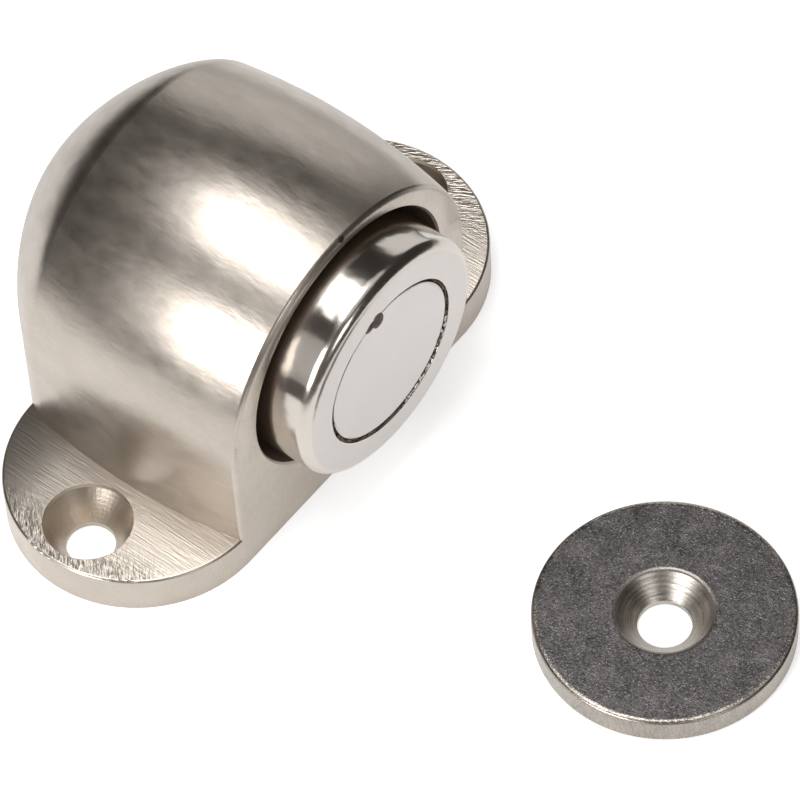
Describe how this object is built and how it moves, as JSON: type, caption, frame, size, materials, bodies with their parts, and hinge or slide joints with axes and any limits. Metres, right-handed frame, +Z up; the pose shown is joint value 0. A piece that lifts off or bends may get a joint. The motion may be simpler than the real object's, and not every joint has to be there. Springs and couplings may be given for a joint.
{
  "type": "magnetic door stop",
  "caption": "Arched floor housing with screw ears and a sprung pot magnet in its flat front, with a loose round countersunk steel strike plate for the door.",
  "frame": {"origin": "on the floor, at the middle of the base's underside, midway between the housing's two screw holes", "axes": "+Z up, away from the floor; the magnet faces -Y; +X along the base, to the right seen from the front"},
  "size_m": [0.0592, 0.0833, 0.0347],
  "materials": {
    "satin_nickel": "satin nickel plate on a zinc casting, finely brushed",
    "polished_nickel": "bright nickel plate, polished",
    "plated_magnet": "nickel plate, satin",
    "adhesive": "set adhesive, dark brown",
    "zinc_plated_steel": "bright zinc plate",
    "spring_steel": "drawn wire",
    "strike_steel": "nickel-plated steel, dark and finely scratched on the face, bright at the edge and the screw seat"
  },
  "bodies": {
    "base": {"housing": "satin_nickel", "spring": "spring_steel", "strike_plate": "strike_steel"},
    "head": {"magnet_cup": "polished_nickel", "magnet": "plated_magnet", "bond": "adhesive", "spindle": "zinc_plated_steel", "washer": "zinc_plated_steel", "nut": "zinc_plated_steel"}
  },
  "joints": [
    {"name": "magnet_press", "type": "slide", "parent": "base", "child": "head", "axis": [0, 1, 0], "range_m": [0, 0.004], "stiffness_N_per_m": 2100, "springref_m": -0.0041, "deforming": ["spring"]}
  ]
}
